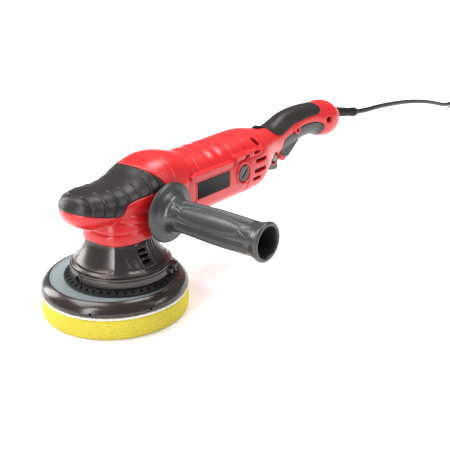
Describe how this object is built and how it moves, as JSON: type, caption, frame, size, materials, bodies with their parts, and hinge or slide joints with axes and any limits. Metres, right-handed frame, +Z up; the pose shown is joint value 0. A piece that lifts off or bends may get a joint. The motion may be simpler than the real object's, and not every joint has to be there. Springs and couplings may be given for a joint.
{
  "type": "dual action polisher",
  "caption": "Corded random-orbit polisher: bell-shaped head with foam pad on a free-turning eccentric, side handle, motor body and long rear handle with trigger.",
  "frame": {"origin": "on the spindle axis, in the plane of the foam pad's working face", "axes": "+Z up along the spindle, -Y towards the nose, +X towards the side handle"},
  "size_m": [0.2656, 1.2399, 0.1548],
  "materials": {
    "red_plastic": "red moulded plastic, satin gloss",
    "soft_grip": "dark soft overmould, matt",
    "graphite_plastic": "dark grey moulded plastic with a metallic sheen",
    "black_plastic": "black moulded plastic",
    "plate_rubber": "dark brown-grey polyurethane skin, glossy",
    "disc_laminate": "blue-grey fibre-filled mounting disc",
    "foam": "yellow open-cell foam",
    "loop_cloth": "off-white loop cloth",
    "steel": "ground steel",
    "dark_steel": "oiled dark steel",
    "cast_alloy": "die-cast alloy",
    "copper": "enamelled copper winding",
    "brass": "plain brass",
    "carbon": "carbon brush block",
    "label_film": "plain dark label with no lettering",
    "cord_jacket": "black cord jacket",
    "strap": "black hook-and-loop strap"
  },
  "bodies": {
    "root": {"spindle_bearing_lower": "steel", "spindle_bearing_upper": "steel", "motor_bearing_front": "steel", "motor_bearing_rear": "steel", "stator_core": "dark_steel", "field_coil_upper": "copper", "field_coil_lower": "copper", "brush_holder_left": "brass", "carbon_brush_left": "carbon", "brush_cap_left": "graphite_plastic", "brush_holder_right": "brass", "carbon_brush_right": "carbon", "brush_cap_right": "graphite_plastic", "head_cover": "red_plastic", "nose_grip": "soft_grip", "gear_case": "cast_alloy", "shroud": "graphite_plastic", "shroud_clamp_ring": "graphite_plastic", "shroud_skirt": "black_plastic", "shroud_screw_1": "dark_steel", "shroud_screw_2": "dark_steel", "motor_housing": "red_plastic", "label_plate": "label_film", "rear_handle_left": "red_plastic", "rear_handle_right": "red_plastic", "top_grip": "soft_grip", "lower_grip": "soft_grip", "handle_screw_1": "dark_steel", "handle_screw_2": "dark_steel", "lock_sleeve": "black_plastic", "power_switch": "black_plastic", "side_handle": "soft_grip", "side_handle_stud": "steel", "strain_relief": "black_plastic", "cord": "cord_jacket", "cord_coil": "cord_jacket", "cord_tie": "strap", "cord_end": "cord_jacket", "mains_plug": "black_plastic"},
    "pad": {"foam_pad": "foam", "pad_loop_layer": "loop_cloth", "backing_plate": "plate_rubber", "mounting_disc": "disc_laminate", "plate_bolt": "dark_steel", "pad_stub_shaft": "steel"},
    "eccentric": {"eccentric_carrier": "dark_steel", "counterweight": "dark_steel", "pad_bearing": "steel", "spindle": "steel", "crown_gear": "dark_steel"},
    "rotor": {"pinion": "dark_steel", "motor_shaft": "steel", "armature_core": "dark_steel", "armature_winding_front": "copper", "armature_winding_rear": "copper", "commutator": "brass", "cooling_fan": "black_plastic"},
    "trigger": {"trigger": "soft_grip"},
    "lock_button": {"lock_button": "graphite_plastic"},
    "speed_dial": {"speed_dial": "black_plastic"}
  },
  "joints": [
    {"name": "spindle_spin", "type": "hinge", "parent": "root", "child": "eccentric", "pos_m": [0, 0, 0.08], "axis": [0, 0, 1], "continuous": true},
    {"name": "pad_spin", "type": "hinge", "parent": "eccentric", "child": "pad", "pos_m": [-0.00583, -0.00471, 0.03], "axis": [0, 0, 1], "continuous": true},
    {"name": "rotor_spin", "type": "hinge", "parent": "root", "child": "rotor", "pos_m": [0, 0.1, 0.1094], "axis": [0, 1, 0], "continuous": true},
    {"name": "trigger_pull", "type": "hinge", "parent": "root", "child": "trigger", "pos_m": [0, 0.217, 0.102], "axis": [1, 0, 0], "range_deg": [0, 7], "stiffness_Nm_per_rad": 1, "springref_deg": -8.59},
    {"name": "lock_press", "type": "slide", "parent": "root", "child": "lock_button", "axis": [-1, 0, 0], "range_m": [0, 0.003], "stiffness_N_per_m": 400, "springref_m": -0.002},
    {"name": "dial_turn", "type": "hinge", "parent": "root", "child": "speed_dial", "pos_m": [0, 0.229, 0.1322], "axis": [1, 0, 0], "range_deg": [0, 270]}
  ],
  "couplings": [
    {"joint": "rotor_spin", "follows": "spindle_spin", "ratio": 4}
  ]
}
